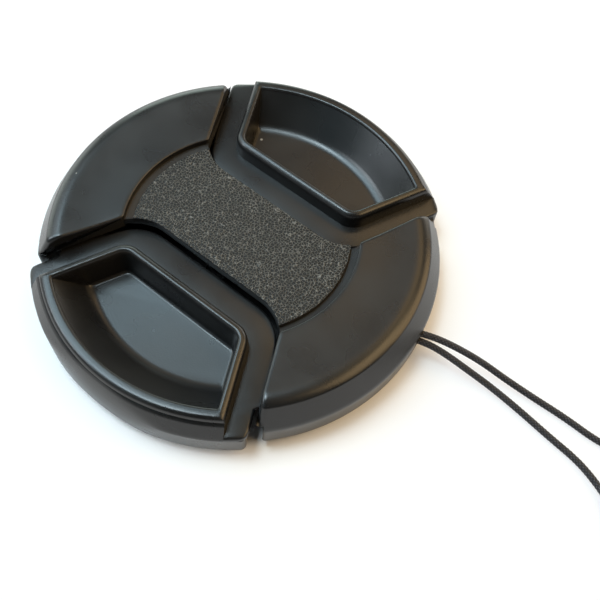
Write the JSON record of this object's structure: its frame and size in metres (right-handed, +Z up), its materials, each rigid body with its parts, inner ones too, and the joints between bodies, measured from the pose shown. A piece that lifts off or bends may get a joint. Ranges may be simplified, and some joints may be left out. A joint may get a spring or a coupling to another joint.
{
  "type": "camera lens cap",
  "caption": "Round centre-pinch camera lens cap with raised wings, sprung finger keys and a thin cord leash, lying face up.",
  "frame": {"origin": "middle of the cap's round body at the level of the table it lies on", "axes": "+Z up out of the cap's front face, the pinch keys slide along Y, the leash leaves towards +X"},
  "size_m": [0.1076, 0.0628, 0.0098],
  "materials": {
    "front_shell": "satin moulded",
    "keys": "satin moulded",
    "back_plate": "moulded",
    "spring_wire": "drawn",
    "leash_cord": "braided nylon",
    "leash_tie": "satin"
  },
  "bodies": {
    "cap_body": {"front_body": "front_shell", "back_plate": "back_plate", "front_key_spring": "spring_wire", "rear_key_spring": "spring_wire", "leash_strand_upper": "leash_cord", "leash_strand_lower": "leash_cord", "leash_coil": "leash_cord", "leash_tie": "leash_tie", "leash_knot": "leash_cord"},
    "front_key": {"front_pinch_key": "keys"},
    "rear_key": {"rear_pinch_key": "keys"}
  },
  "joints": [
    {"name": "front_key_slide", "type": "slide", "parent": "cap_body", "child": "front_key", "axis": [0, 1, 0], "range_m": [0, 0.0022], "stiffness_N_per_m": 400, "deforming": ["front_key_spring"]},
    {"name": "rear_key_slide", "type": "slide", "parent": "cap_body", "child": "rear_key", "axis": [0, -1, 0], "range_m": [0, 0.0022], "stiffness_N_per_m": 400, "deforming": ["rear_key_spring"]}
  ]
}
